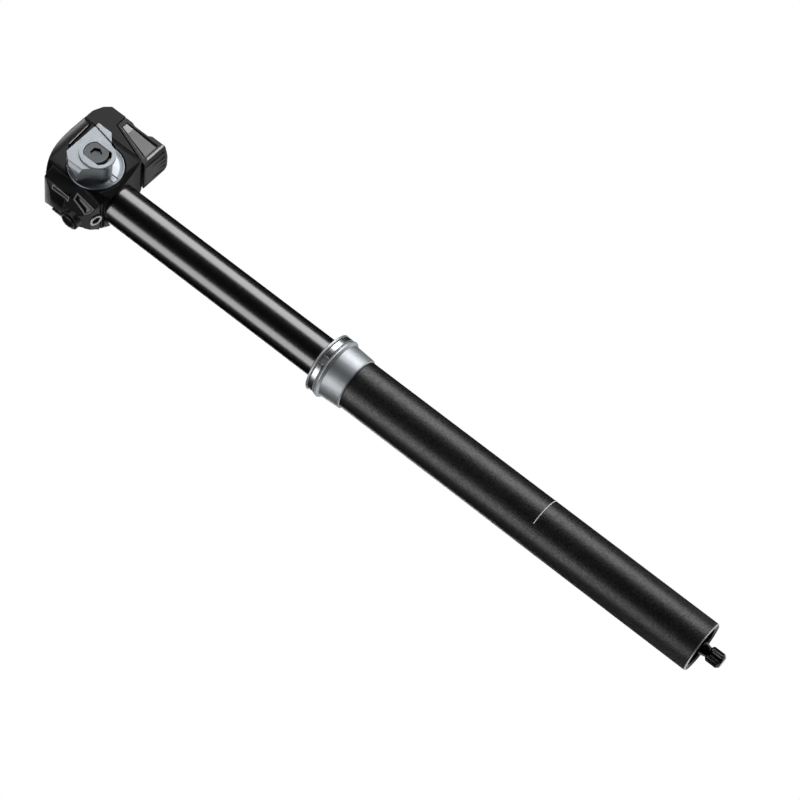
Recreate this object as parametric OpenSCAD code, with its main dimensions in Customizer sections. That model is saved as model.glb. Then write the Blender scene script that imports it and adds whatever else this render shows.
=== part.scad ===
// Wireless dropper seatpost: a fixed lower tube, a sliding stanchion on an air spring with a hydraulic lock,
// an electric release head with a rear battery and a front control nose, and a side-bolt saddle clamp.
// Millimetres. The origin is on the post's axis at the collar's lower edge. +Z points to the saddle,
// +X to the rear (battery), -X to the front (control nose). Head heights start at the stanchion's entry.

/* [Lower tube] */
// Outside diameter of the lower tube, the seat tube size it fits
tube_d = 30.9; // [30.4:0.1:34.9]
// Wall of the lower tube
tube_wall = 1.65; // [1.5:0.05:2]
// Length of the lower tube below the collar
tube_len = 241; // [236:1:320]
// Length of the tube's thread inside the collar
tube_thread = 11; // [9:0.5:12]
// Chamfer at the tube's lower rim
tube_chamfer = 0.7; // [0.3:0.1:1]

/* [Stanchion] */
// Outside diameter of the stanchion
post_d = 25; // [24.4:0.1:25.2]
// Wall of the stanchion
post_wall = 1.5; // [1.2:0.1:1.8]
// Travel of the post
travel = 150; // [100:5:153]
// Stanchion left showing above the collar when the post is down
head_gap = 4.3; // [2:0.1:20]
// Length of the stanchion below the collar's lower edge at full height
post_overlap = 72; // [62:1:74]
// Diameter of the anti-turn guide keys
key_d = 2.4; // [2.2:0.1:2.8]
// Length of the guide keys
key_len = 13; // [8:1:16]

/* [Collar and seals] */
// Height of the seal collar
collar_h = 24; // [22:0.5:28]
// Wall of the collar's skirt outside the tube
collar_wall = 1.75; // [1.5:0.05:3]
// How far the collar's top rim stands out from its skirt
rim_out = 1.5; // [1:0.1:2.5]
// How far the collar's bead stands out from its skirt
bead_out = 1.6; // [1:0.1:2.5]
// Height of the bead's middle above the collar's lower edge
bead_z = 15.1; // [13:0.1:15.4]
// Gap in the split ring, along its rim
ring_gap = 4.6; // [2:0.1:8]
// Length of the upper bushing
bushing_len = 20; // [12:1:30]
// Length of the lower bushing
foot_bushing_len = 12; // [8:1:14]
// Height of the wiper seal's lip above the collar
wiper_lip = 0.5; // [0.2:0.1:1]

/* [Air spring] */
// Diameter of the piston rod
rod_d = 9; // [8:0.1:10]
// Bore of the piston rod
rod_bore = 4; // [2:0.1:4.4]
// Width of the oil chamber between the damper tube and the stanchion
oil_gap = 2.5; // [2:0.1:3]
// Wall of the damper tube
damper_wall = 1.25; // [1:0.05:1.6]
// Length of the piston
piston_len = 10; // [8:0.5:14]
// Length of the floating piston
floating_len = 10; // [8:0.5:14]
// Length of the rod guide in the stanchion's lower end
guide_len = 14; // [13:0.5:18]
// Height of the top-out bumper
top_bumper_h = 3; // [2:0.5:5]
// Height of the bottom bumper
low_bumper_h = 4; // [2:0.5:5]
// Lift of the release spool
spool_lift = 1.4; // [0.8:0.1:1.5]
// Turn of the release cam, in degrees
cam_turn = 100; // [80:5:120]

/* [Foot] */
// Diameter of the opening in the end plug
plug_open_d = 24; // [20:0.5:25]
// Depth of the end plug's recess
plug_recess = 5; // [3:0.5:6]
// Thickness of the end plug's floor
plug_floor = 6.6; // [6:0.1:8]
// Diameter of the valve's boss at the plug
boss_d = 8.2; // [7.8:0.1:9]
// Length of the boss below the tube's end
boss_h = 4.2; // [3:0.1:6]
// Diameter of the valve stem under the cap
stem_d = 6.2; // [6:0.1:7]
// Diameter of the valve cap
cap_d = 9.2; // [8.8:0.1:12]
// Height of the valve cap
cap_h = 9.1; // [8:0.1:12]
// Number of flutes round the cap
cap_flutes = 8; // [6:1:16]

/* [Head] */
// Width of the head over its side faces
head_w = 33; // [32:0.5:36]
// Height of the head's dome
head_top = 51.6; // [50:0.2:54]
// Depth of the stanchion's socket in the head
socket_depth = 15; // [14:0.1:15.5]
// Distance from the axis to the joint of the front cover
cover_x = 14.5; // [14.5:0.1:15.5]
// Distance from the axis to the nose's upper front face
nose_x = 24.2; // [22:0.1:25]
// Width of the nose at its front corners
nose_w = 25.2; // [24:0.2:27]
// Distance from the axis to the front of the nose's jaw
jaw_x = 26; // [25:0.1:28]
// Slope of the chin under the nose, in degrees
chin_turn = 15; // [8:0.5:20]
// Height of the front cover's top under the brow
cover_top = 38.4; // [36:0.2:39]
// Distance from the axis to the crown's rear face
crown_x = 42.2; // [42:0.1:46]
// Width of the crown and of the battery
rear_w = 24; // [22:0.2:28]
// Diameter of the release motor
motor_d = 8; // [6:0.2:8]
// Height of the release camshaft
cam_z = 10.5; // [10:0.1:10.6]

/* [Saddle clamp] */
// Distance of the clamp's axis behind the post's axis
bolt_x = 1.75; // [0:0.05:3]
// Height of the clamp's axis
bolt_z = 20; // [19.8:0.1:22]
// Diameter of the round cradle
disc_d = 33; // [30:0.5:33.5]
// Spacing of the saddle's rails
rail_gauge = 44; // [43:0.5:46]
// Diameter of the saddle's rails
rail_d = 7; // [7:0.1:8]
// Height of the rails
rail_z = 29.2; // [28.8:0.1:30.5]
// Thickness of the ears
ear_t = 10; // [9:0.5:12]
// Diameter of the barrel nut's and the bolt's heads
nut_d = 14.6; // [13:0.1:15]
// Distance across the barrel nut's flats
nut_flat = 11.5; // [10:0.1:12]
// Size of the hex key
hex_key = 6; // [5:0.5:6]
// Diameter of the barrel nut's sleeve
sleeve_d = 8; // [7.4:0.1:8.2]
// Diameter of the clamp bolt's shank
shank_d = 5; // [4:0.1:5.5]

/* [Battery] */
// Height of the battery's lower face
battery_low = 2.9; // [2:0.1:4]
// Height of the battery's top under the crown
battery_high = 33; // [32:0.2:34]
// Distance from the axis to the battery's front face at the bottom
seam_low_x = 23.8; // [23.4:0.1:27]
// Distance from the axis to the battery's front face at the top
seam_high_x = 34.3; // [33.5:0.1:35]
// Wall of the battery case
case_wall = 2; // [1.6:0.1:2.4]
// Travel of the battery's latch
latch_travel = 2; // [1:0.1:3]
// Number of ribs under the battery
battery_ribs = 6; // [3:1:7]

/* [Controls] */
// Diameter of the round button housing
button_house_d = 12.7; // [12:0.1:14]
// Diameter of the button
button_d = 10; // [8:0.1:10.5]
// Height of the button's axis
button_z = 13.4; // [13:0.1:16]
// Reach of the button housing in front of the jaw
button_out = 2.3; // [1.5:0.1:4]
// Travel of the button
button_travel = 1.2; // [0.6:0.1:1.4]
// Outside diameter of the port's ring
port_d = 8; // [6:0.1:8.2]
// Diameter of the port
port_bore = 5; // [3:0.1:5.4]

/* [Hidden] */
$fn = 96;
run_gap = 0.03;    // running fit, radial
soft_gap = 0.06;   // seal lip to the moving wall, radial
face_gap = 0.1;    // between faces of pieces that move past each other
clear_gap = 0.4;   // round pieces that come off or press in
over = 1;          // how far cutting tools run past a face

// Radii
tube_r = tube_d / 2;
tube_bore_r = tube_r - tube_wall;
thread_r = tube_r - 0.45;
post_r = post_d / 2;
post_bore_r = post_r - post_wall;
skirt_r = tube_r + collar_wall;
rim_r = skirt_r + rim_out;
bead_r = skirt_r + bead_out;
rod_r = rod_d / 2;
damper_r = post_bore_r - oil_gap;
damper_bore_r = damper_r - damper_wall;
sleeve_r = sleeve_d / 2;
rail_r = rail_d / 2;
rail_y = rail_gauge / 2;
motor_r = motor_d / 2;
disc_r = disc_d / 2;
nut_r = nut_d / 2;

// Heights along the post
head_base = collar_h + head_gap + travel;
post_low = -post_overlap;
post_top = head_base + socket_depth;
tube_end = -tube_len;
plug_inset = 0.5;
plug_low = tube_end + plug_inset;
plug_floor_z = plug_low + plug_recess;
plug_top = plug_floor_z + plug_floor;
rod_seat = plug_floor / 2;
guide_top = post_low + guide_len;
piston_low = guide_top + top_bumper_h + face_gap;
piston_top = piston_low + piston_len;
piston_mid = piston_low + piston_len / 2;
spigot_r = 3;
nut_h = 4;
key_low = post_low + foot_bushing_len + 1;
key_mid_r = (post_r + tube_bore_r) / 2;

// Collar bands
bead_h = 2.8;
skirt_taper = 0.7;
skirt_round = [0.9, 2.2];
lip_h = 1.9;
wiper_h = 4;
flange_h = 3;
groove_low = bead_z + bead_h / 2;
groove_high = collar_h - lip_h - 1.3;
groove_r = skirt_r + 0.3;
seal_pocket_r = post_r + 1.9;
lip_r = post_r + 1;

// Valve cap's ends and flutes
cap_foot = [1.4, 1.5];
cap_shoulder = 0.9;
cap_end_t = 1.8;
flute_r = 1.1;
flute_out = 0.75;

// Hydraulic valve at the stanchion's top
block_top = head_base + 5.4;
block_low = head_base - 8;
damper_seat = 2;
poppet_h = 3.6;
stem_r = 1.5;
cam_low_r = 2.4;
spool_top = head_base + cam_z - cam_low_r - clear_gap;
spring_r = 3.4;
flange_r = 2.8;
floating_top = block_low - 8;
floating_mid = floating_top - floating_len / 2;
float_seal_d = 0.7;
seal_room = 0.6;

// Head outline values
brow = [-17.4, 40.6];
dome_start = 8;
dome_len = 14;
dome_fall = 1.8;
dome_pull = 14;
dome_side = [10, 10];
brow_lip = 2.4;
crown_step = 3.6;
crown_drop = 0.6;
foot_rear = 2;
foot_side = [1.4, 5];
shoulder = [3, 2];
pocket_drop = [8.6, 10.2];
foot_lift = 2;
rear_lift = 1.2;
chin_x = post_r + 0.4;
chin_low = 1.6;
chin_knee = 20.4;
jaw_low = 10.1;
seat_y = head_w / 2 - 1.5;
rail_pocket_y = head_w / 2 - 2.3;
front_start = -10;
front_pull = 7;
contact_size = [2, 12, 8];
contact_up = 14;
nose_corner = [-nose_x + 2.5, nose_w / 2];
nose_front = [-nose_x + 0.6, nose_w / 2 - 4.6];
jaw_corner = [-jaw_x, 6.8];
jaw_top = 19.4;
jaw_rise = 1;
nose_bevel = [2.7, 7.4];
foot_r = 15.4;
cheek_at = [-17.3, -14.2, 17.6];
cheek_turn = 41;
cheek_lean = 12;
foot_top = 17;
foot_knee = [18.2, 2.2];
foot_out = 24.5;
seam_turn = atan2(seam_high_x - seam_low_x, battery_high - battery_low);

// Control nose: outlines on its faces are along the face, then up
board_t = 1.6;
board_screw_r = 0.9;
board_w = 12;
board_low = 9.4;
board_high = cover_top - 5;
window_rim = [[-5, -1.2], [-0.5, -1.2], [-3, -14.5], [-6.4, -13.8], [-8.9, -11.2], [-7.7, -9]];
window_pocket = [[-4.5, -1.75], [-1.2, -1.75], [-3.55, -13.9], [-6.2, -13.2], [-8.2, -11.1], [-7, -9.2]];
window_panel = [[-3.4, -4.2], [-2.4, -3.8], [-4.1, -13.2], [-6, -12.6], [-7.5, -11.1], [-5.4, -10.6]];
corner_rib = [[2, 30.8], [5.2, 30.8], [4.8, 18], [1.4, 18], [2.4, 20]];
rib_t = 1;
rim_t = 0.35;
pocket_t = 1;
port_reach = 4.5;
port_t = 0.9;
port_depth = 1.8;
port_boss = 3;
plug_t = 1.2;
house_front = -jaw_x - button_out;

// Battery's side panels and latch
panel_low = battery_low + 3.2;
panel_high = battery_high - 3;
panel = [[seam_x(panel_low) + 2.6, panel_low], [crown_x - 2.8, panel_low], [crown_x - 2.8, panel_high],
    [seam_x(panel_high) + 1.6, panel_high]];
panel_t = 1.2;
waist = 1.4;
waist_low = [10, 12.2];
keel = 2.4;
keel_bow = [0.8, 0.8];
keel_heel = 0.4;
rib_gap_w = 1.4;
rib_gap_t = 0.7;
latch_w = 10;
latch_h = 5.4;
latch_x = crown_x - 3.4;

// Clamp values
disc_face = seat_y + 2;
disc_floor = disc_face - 0.6;
ear_in = rail_y - 3;
ear_out = ear_in + ear_t;
nut_seat = rail_y + rail_r + 0.6;
nut_face = ear_out + 0.7;
pad_out = rail_y - 0.4;
ear_lap = rail_y + 0.4;
ear_top = rail_z + rail_r + 0.7;
ear_left = -8.3;
ear_right = 18.7;
bolt_at = [bolt_x, bolt_z];
ear_slope = [5.2, 6];
ear_tip = [-17, -0.2];
ear_knee = [-12.7, -2.4];
ear_hip = [-9, -6.2];
ear_foot = [[-7.4, -9], [-1.6, -15.4], [4.6, -8.3]];
ear_tail = 3.7;
ear_groove = [2.4, 5.6];
ear_groove_low = 3;
ear_groove_w = 0.8;
ear_groove_t = 0.9;
scoop_at = [9.6, 1.5];
boss_up = 1;
boss_wall = 2.5;
neck_wall = 2;
lap_low = 2.2;
slot_drop = 2;
hex_depth = 4;
scoop_r = 6;

// Points of a curve that leaves a towards b and reaches c from b
function curve(a, b, c, n = 8) = [
    for (i = [0 : n])
        let (t = i / n)
            (1 - t) ^ 2 * a + 2 * t * (1 - t) * b + t ^ 2 * c];

// A point at radius r and angle a
function polar(r, a) = r * [cos(a), sin(a)];

// The points of a half outline, then their mirror images across the first axis
function mirrored(half) = concat(half, [for (i = [len(half) - 1 : -1 : 0]) [half[i].x, -half[i].y]]);

// Height of the chin at distance x in front of the axis
function chin_z(x) = chin_low + (x - chin_x) * tan(chin_turn);

// A point of the battery's front face at height z
function seam_x(z) = seam_low_x + (z - battery_low) * tan(seam_turn);

// A round sleeve between two radii and two heights
module sleeve(r_out, r_in, low, high) {
    rotate_extrude() translate([r_in, low]) square([r_out - r_in, high - low]);
}

// A round seal ring of thickness d whose outer or inner radius touches its wall
module seal_ring(mid_r, d, z) {
    rotate_extrude() translate([mid_r, z]) circle(d = d, $fn = 32);
}

// A round bar along X from x0 to x1
module bar_x(r, x0, x1) {
    translate([x0, 0, 0]) rotate([0, 90, 0]) cylinder(r = r, h = x1 - x0);
}

// A round bar along Y from y0 to y1
module bar_y(r, y0, y1) {
    translate([0, y0, 0]) rotate([-90, 0, 0]) cylinder(r = r, h = y1 - y0);
}

// A side outline (X, Z) given a width across Y
module across(w) {
    rotate([90, 0, 0]) linear_extrude(height = w, center = true) children();
}

// A side outline (X, Z) on the near side, from y0 out to y1
module outwards(y0, y1) {
    translate([0, -y0, 0]) rotate([90, 0, 0]) linear_extrude(height = y1 - y0) children();
}

module at_head() {
    translate([0, 0, head_base]) children();
}

module at_bolt() {
    translate([bolt_x, 0, head_base + bolt_z]) children();
}

// Places its children on the near side and mirrored on the far side
module both_sides() {
    children();
    mirror([0, 1, 0]) children();
}

// Places its children on the nose's near corner face, with X along the face and Y up
module on_nose_corner() {
    run = nose_corner - nose_front;
    at_head() translate([nose_front.x, -nose_front.y, 0]) rotate([0, 0, -atan2(run.y, run.x)])
        rotate([90, 0, 0]) children();
}

// Places its children on the near cheek, with X along it and Y up the slope
module on_cheek() {
    at_head() translate(cheek_at) rotate([0, 0, -cheek_turn]) rotate([90 + cheek_lean, 0, 0]) children();
}

// Places its children on the chin, with Z out of it
module on_chin() {
    translate([-chin_x, 0, head_base + chin_low]) rotate([0, chin_turn, 0]) translate([-port_reach, 0, 0])
        rotate([180, 0, 0]) children();
}

module guide_key_places() {
    for (turn = [0 : 120 : 240]) rotate([0, 0, turn]) translate([key_mid_r, 0, 0]) children();
}

// Lower half

module lower_tube() color([0.07, 0.07, 0.075]) difference() {
    rotate_extrude() polygon([
        [tube_bore_r, tube_end], [tube_r - tube_chamfer, tube_end], [tube_r, tube_end + tube_chamfer],
        [tube_r, 0], [thread_r, 0], [thread_r, tube_thread], [tube_bore_r, tube_thread]]);
    guide_key_places() translate([0, 0, plug_top])
        cylinder(d = key_d + 2 * face_gap, h = key_low + key_len + over - plug_top);
}

module seal_collar() color([0.68, 0.7, 0.73]) rotate_extrude() polygon(concat(
    [[thread_r, 0]],
    curve([skirt_r - skirt_taper - skirt_round[0], 0], [skirt_r - skirt_taper, 0],
        [skirt_r - skirt_taper, skirt_round[1]], 4),
    curve([skirt_r, bead_z - bead_h / 2], [2 * bead_r - skirt_r, bead_z], [groove_r, groove_low]),
    [[groove_r, groove_high], [rim_r - 0.3, groove_high], [rim_r, groove_high + 0.3],
    [rim_r, collar_h - lip_h], [lip_r, collar_h],
    [lip_r, collar_h - wiper_h], [seal_pocket_r, collar_h - wiper_h], [seal_pocket_r, tube_thread],
    [thread_r, tube_thread]]));

module split_ring() color([0.45, 0.46, 0.48]) difference() {
    sleeve(rim_r - 0.2, groove_r, groove_low + 0.6, groove_high - 0.4);
    rotate([0, 0, -118]) translate([0, -ring_gap / 2, 0]) cube([rim_r + over, ring_gap, collar_h]);
}

module wiper_seal() color([0.05, 0.05, 0.05]) rotate_extrude() polygon([
    [post_r + soft_gap, collar_h + wiper_lip], [post_r + 0.5, collar_h + wiper_lip], [lip_r, collar_h],
    [lip_r, collar_h - wiper_h], [seal_pocket_r, collar_h - wiper_h],
    [seal_pocket_r, collar_h - wiper_h - flange_h], [post_r + soft_gap, collar_h - wiper_h - flange_h]]);

module foam_ring() color([0.3, 0.3, 0.28])
    sleeve(seal_pocket_r, post_r + soft_gap, tube_thread, collar_h - wiper_h - flange_h);

module upper_bushing() color([0.55, 0.5, 0.4])
    sleeve(tube_bore_r, post_r + run_gap, tube_thread - bushing_len, tube_thread);

module end_plug() color([0.06, 0.06, 0.06]) difference() {
    rotate_extrude() polygon([
        [plug_open_d / 2, plug_low], [tube_bore_r, plug_low], [tube_bore_r, plug_top - 4],
        [tube_bore_r - 1, plug_top - 4], [tube_bore_r - 1, plug_top - 2.4], [tube_bore_r, plug_top - 2.4],
        [tube_bore_r, plug_top], [rod_r, plug_top], [rod_r, plug_top - rod_seat],
        [stem_d / 2, plug_top - rod_seat], [stem_d / 2, plug_floor_z], [plug_open_d / 2, plug_floor_z]]);
    // Two pin holes for the assembly spanner
    for (side = [-1, 1]) translate([side * plug_open_d / 3, 0, plug_floor_z - over])
        cylinder(d = 2, h = 2 + over);
}

module plug_seal() color([0.1, 0.1, 0.1]) seal_ring(tube_bore_r - 0.5, 1, plug_top - 3.2);

module bottom_bumper() color([0.12, 0.12, 0.12])
    sleeve(post_r - 0.5, rod_r, plug_top, plug_top + low_bumper_h);

module piston_rod() color([0.75, 0.76, 0.78]) difference() {
    rotate_extrude() polygon([
        [rod_bore / 2, plug_top - rod_seat], [rod_r, plug_top - rod_seat], [rod_r, piston_low],
        [spigot_r, piston_low], [spigot_r, piston_top + nut_h], [rod_bore / 2, piston_top + nut_h]]);
    // Air passage under the piston
    translate([0, 0, piston_low - 1.2]) bar_x(0.8, -rod_r - over, rod_r + over);
}

module piston() color([0.6, 0.55, 0.35]) rotate_extrude() polygon([
    [spigot_r, piston_low], [damper_bore_r - run_gap, piston_low],
    [damper_bore_r - run_gap, piston_mid - 0.9], [damper_bore_r - 1, piston_mid - 0.9],
    [damper_bore_r - 1, piston_mid + 0.9], [damper_bore_r - run_gap, piston_mid + 0.9],
    [damper_bore_r - run_gap, piston_top], [spigot_r, piston_top]]);

module piston_seal() color([0.1, 0.1, 0.1])
    seal_ring(damper_bore_r - run_gap - 0.47, 1, piston_mid);

module piston_nut() color([0.7, 0.7, 0.7]) difference() {
    translate([0, 0, piston_top]) cylinder(r = spigot_r + 2.2, h = nut_h, $fn = 6);
    translate([0, 0, piston_top - over]) cylinder(r = spigot_r, h = nut_h + 2 * over);
}

module valve_stem() color([0.05, 0.05, 0.05]) rotate_extrude() polygon([
    [1.6, plug_top - rod_seat], [stem_d / 2, plug_top - rod_seat], [stem_d / 2, plug_floor_z],
    [boss_d / 2, plug_floor_z], [boss_d / 2, tube_end], [stem_d / 2, tube_end - boss_h],
    [stem_d / 2, tube_end - boss_h - cap_h + 2], [1.6, tube_end - boss_h - cap_h + 2]]);

module valve_core() color([0.8, 0.68, 0.35]) rotate_extrude() polygon([
    [0, plug_floor_z], [1.6, plug_floor_z], [1.6, plug_floor_z - 4], [0.8, plug_floor_z - 5],
    [0.8, tube_end - boss_h - cap_h + 3], [0, tube_end - boss_h - cap_h + 3]]);

module valve_cap() color([0.06, 0.06, 0.06]) {
    cap_top = tube_end - boss_h - face_gap;
    cap_low = cap_top - cap_h;
    difference() {
        rotate_extrude() polygon([
            [0, cap_low], [cap_d / 2 - cap_foot[0], cap_low], [cap_d / 2, cap_low + cap_foot[1]],
            [cap_d / 2, cap_top - cap_shoulder], [cap_d / 2 - cap_shoulder, cap_top],
            [stem_d / 2 + run_gap, cap_top], [stem_d / 2 + run_gap, cap_low + cap_end_t],
            [0, cap_low + cap_end_t]]);
        for (i = [0 : cap_flutes - 1]) rotate([0, 0, i * 360 / cap_flutes])
            translate([cap_d / 2 + flute_out, 0, cap_low - over])
                cylinder(r = flute_r, h = cap_h - 2 * cap_shoulder + over, $fn = 24);
    }
}

// Sliding half

module stanchion() color([0.03, 0.03, 0.03]) difference() {
    sleeve(post_r, post_bore_r, post_low, post_top);
    guide_key_places() translate([0, 0, key_low]) cylinder(d = key_d, h = key_len);
    // Window for the release motor's nose
    at_head() translate([0, 0, cam_z]) bar_x(motor_r - 1 + face_gap, 0, post_r + over);
}

module guide_keys() color([0.78, 0.62, 0.3])
    guide_key_places() translate([0, 0, key_low]) cylinder(d = key_d, h = key_len);

module lower_bushing() color([0.55, 0.5, 0.4])
    sleeve(tube_bore_r - run_gap, post_r, post_low, post_low + foot_bushing_len);

module rod_guide() color([0.66, 0.67, 0.7]) rotate_extrude() polygon([
    [rod_r + run_gap, post_low], [post_bore_r, post_low], [post_bore_r, guide_top + 1],
    [damper_r, guide_top + 1], [damper_r, guide_top], [rod_r + run_gap, guide_top],
    [rod_r + run_gap, guide_top - 4], [rod_r + 2, guide_top - 4], [rod_r + 2, guide_top - 7],
    [rod_r + run_gap, guide_top - 7]]);

module rod_seal() color([0.1, 0.1, 0.1]) sleeve(rod_r + 2, rod_r + soft_gap, guide_top - 7, guide_top - 4);

module top_out_bumper() color([0.12, 0.12, 0.12])
    sleeve(damper_bore_r - 0.3, rod_r + 0.3, guide_top, guide_top + top_bumper_h);

module damper_tube() color([0.7, 0.71, 0.74]) difference() {
    sleeve(damper_r, damper_bore_r, guide_top, block_low + damper_seat);
    // Air ports to the outer chamber
    for (turn = [0, 90]) rotate([0, 0, turn]) translate([0, 0, guide_top + 2.2])
        bar_x(0.8, -damper_r - over, damper_r + over);
}

module valve_block() color([0.72, 0.7, 0.6]) difference() {
    rotate_extrude() polygon([
        [stem_r + run_gap, block_low + 3], [damper_bore_r, block_low],
        [damper_bore_r, block_low + damper_seat], [damper_r, block_low + damper_seat], [damper_r, block_low],
        [post_bore_r, block_low], [post_bore_r, block_top - 5], [post_bore_r - 0.8, block_top - 5],
        [post_bore_r - 0.8, block_top - 3.4], [post_bore_r, block_top - 3.4],
        [post_bore_r, block_top], [spring_r, block_top],
        [spring_r, block_top - 2], [stem_r + run_gap, block_top - 2]]);
    // Oil passages from the spool to the outer chamber
    translate([0, 0, block_low + 6]) bar_x(0.9, -post_bore_r + 0.6, post_bore_r - 0.6);
    for (side = [-1, 1]) translate([side * (damper_r + post_bore_r) / 2, 0, block_low - over])
        cylinder(r = 0.9, h = 7 + over);
}

module block_seal() color([0.1, 0.1, 0.1]) seal_ring(post_bore_r - 0.4, 0.8, block_top - 4.2);

module floating_piston() color([0.62, 0.58, 0.4]) {
    in_r = damper_r + run_gap;
    out_r = post_bore_r - run_gap;
    low = floating_top - floating_len;
    groove_bottom = floating_mid - seal_room;
    groove_top = floating_mid + seal_room;
    rotate_extrude() polygon([
        [in_r, low], [out_r, low], [out_r, groove_bottom], [out_r - float_seal_d, groove_bottom],
        [out_r - float_seal_d, groove_top], [out_r, groove_top], [out_r, floating_top], [in_r, floating_top],
        [in_r, groove_top], [in_r + float_seal_d, groove_top], [in_r + float_seal_d, groove_bottom],
        [in_r, groove_bottom]]);
}

module floating_seals() color([0.1, 0.1, 0.1]) {
    seal_ring(damper_r + run_gap + float_seal_d / 2, float_seal_d, floating_mid);
    seal_ring(post_bore_r - run_gap - float_seal_d / 2, float_seal_d, floating_mid);
}

module release_spool() color([0.75, 0.75, 0.78]) rotate_extrude() polygon([
    [0, block_low - poppet_h], [2.6, block_low - poppet_h], [2.6, block_low - face_gap - 1],
    [stem_r * 0.6, block_low + 2.4], [stem_r * 0.6, block_low + 7.5], [stem_r, block_low + 8],
    [stem_r, spool_top - 1], [flange_r, spool_top - 1], [flange_r, spool_top - 0.4],
    [0.8, spool_top], [0, spool_top]]);

module spool_spring() color([0.6, 0.6, 0.62])
    sleeve(flange_r, stem_r + 0.2, block_top - 2, spool_top - 1 - face_gap);

module release_cam() color([0.8, 0.66, 0.36]) {
    rise = [for (i = [0 : 20]) polar(cam_low_r + i / 20 * spool_lift, -90 - i / 20 * cam_turn)];
    back = [for (i = [1 : 12]) polar(cam_low_r + (1 - i / 12) * spool_lift, -90 - cam_turn - 5 * i)];
    rest = [for (i = [1 : 14]) polar(cam_low_r, -150 - cam_turn - i * (210 - cam_turn) / 15)];
    at_head() translate([0, 0, cam_z]) {
        translate([-2, 0, 0]) rotate([90, 0, 90]) linear_extrude(4) polygon(concat(rise, back, rest));
        bar_x(1.2, 2, post_r + 4);
    }
}

module gear_motor() color([0.5, 0.5, 0.53]) at_head() translate([0, 0, cam_z]) difference() {
    union() {
        bar_x(motor_r, post_r + 0.6, seam_x(cam_z - motor_r) - 3);
        bar_x(motor_r - 1, post_bore_r - 2, post_r + 0.6);
    }
    bar_x(1.2 + run_gap, post_bore_r - 2 - over, post_r + 4 + face_gap);
}

// Head

module head_outline() polygon(concat(
    [[-cover_x, chin_z(cover_x)], [-chin_x, chin_low], [-chin_x, 0], [0, 0],
    [post_r + foot_rear, foot_lift],
    [seam_x(battery_low + rear_lift) - clear_gap, battery_low + rear_lift],
    [seam_x(battery_high + clear_gap) - clear_gap, battery_high + clear_gap],
    [crown_x, battery_high + clear_gap], [crown_x, head_top - 2 * crown_step],
    [crown_x - crown_step, head_top - crown_step],
    [crown_x - 3 * crown_step, head_top - crown_drop], [dome_start + dome_len, head_top]],
    curve([dome_start, head_top - dome_fall],
        [dome_start - dome_pull, head_top - dome_fall * (1 + dome_pull / dome_len)], brow),
    [[brow.x - brow_lip, cover_top + clear_gap], [-cover_x, cover_top + clear_gap]]));

// The rounded front of the head in plan, which the nose continues
function front_round() =
    curve(nose_corner, [front_start - front_pull, head_w / 2], [front_start, head_w / 2], 10);

module head_plan() polygon(mirrored(concat(front_round(),
    [[seam_low_x - shoulder[0], head_w / 2], [seam_low_x + shoulder[1], rear_w / 2],
    [crown_x, rear_w / 2]])));

// The head's cross section, as half width and height
module head_section() rotate(90) polygon(mirrored(concat(
    [[0, post_r + foot_side[0]], [foot_side[1], head_w / 2]],
    curve([head_top - dome_side[1], head_w / 2], [head_top, head_w / 2],
        [head_top, head_w / 2 - dome_side[0]]))));

// The battery's contacts, drawn out past the head's face by past
module contact_block(past = 0) {
    mid = battery_low + contact_up;
    at_head() translate([seam_x(mid) - clear_gap, 0, mid]) rotate([0, seam_turn, 0])
        translate([-contact_size.x, -contact_size.y / 2, -contact_size.z / 2])
        cube(contact_size + [past, 0, 0]);
}

// Seat of the round cradle
module cradle_seat() {
    at_bolt() bar_y(disc_r + 0.5, -head_w, -seat_y);
}

// The head's foot narrows to a cone in front of the post
module front_foot_cut() at_head() difference() {
    translate([-2 * nose_x, -head_w, 0]) cube([2 * nose_x - 2, 2 * head_w, foot_top]);
    rotate_extrude() polygon([[0, 0], [foot_r, 0], foot_knee, [foot_out, foot_top], [0, foot_top]]);
}

module head_shell() color([0.05, 0.05, 0.055]) difference() {
    at_head() intersection() {
        across(head_w) head_outline();
        linear_extrude(head_top) head_plan();
        translate([-2 * nose_x, 0, 0]) rotate([90, 0, 90]) linear_extrude(2 * nose_x + crown_x)
            head_section();
    }
    front_foot_cut();
    translate([0, 0, head_base - over]) cylinder(r = post_r, h = socket_depth + over);
    at_bolt() bar_y(sleeve_r + run_gap, -head_w, head_w);
    at_head() translate([0, 0, cam_z]) bar_x(motor_r, 0, seam_x(cam_z));
    contact_block(over);
    both_sides() {
        cradle_seat();
        // Pocket that the saddle's rail passes through
        at_head() outwards(rail_pocket_y, head_w) polygon([
            [bolt_x, rail_z - rail_r - 5], [seam_low_x - 5, rail_z - rail_r - 5],
            [seam_low_x + 1, rail_z + 4], [seam_low_x + 1, head_top - pocket_drop[0]],
            [bolt_x, head_top - pocket_drop[1]],
            [bolt_x - 5, rail_z + rail_r + 3]]);
    }
    on_chin() translate([0, 0, -port_boss - face_gap])
        cylinder(d = port_d + 2 * face_gap, h = port_boss + over);
    // Screw holes of the circuit board
    board_screw_places() bar_x(board_screw_r, 0, 5);
}

module board_screw_places() {
    for (z = [socket_depth + 2.5, board_high - 2.5])
        at_head() translate([-cover_x, 0, z]) children();
}

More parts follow.
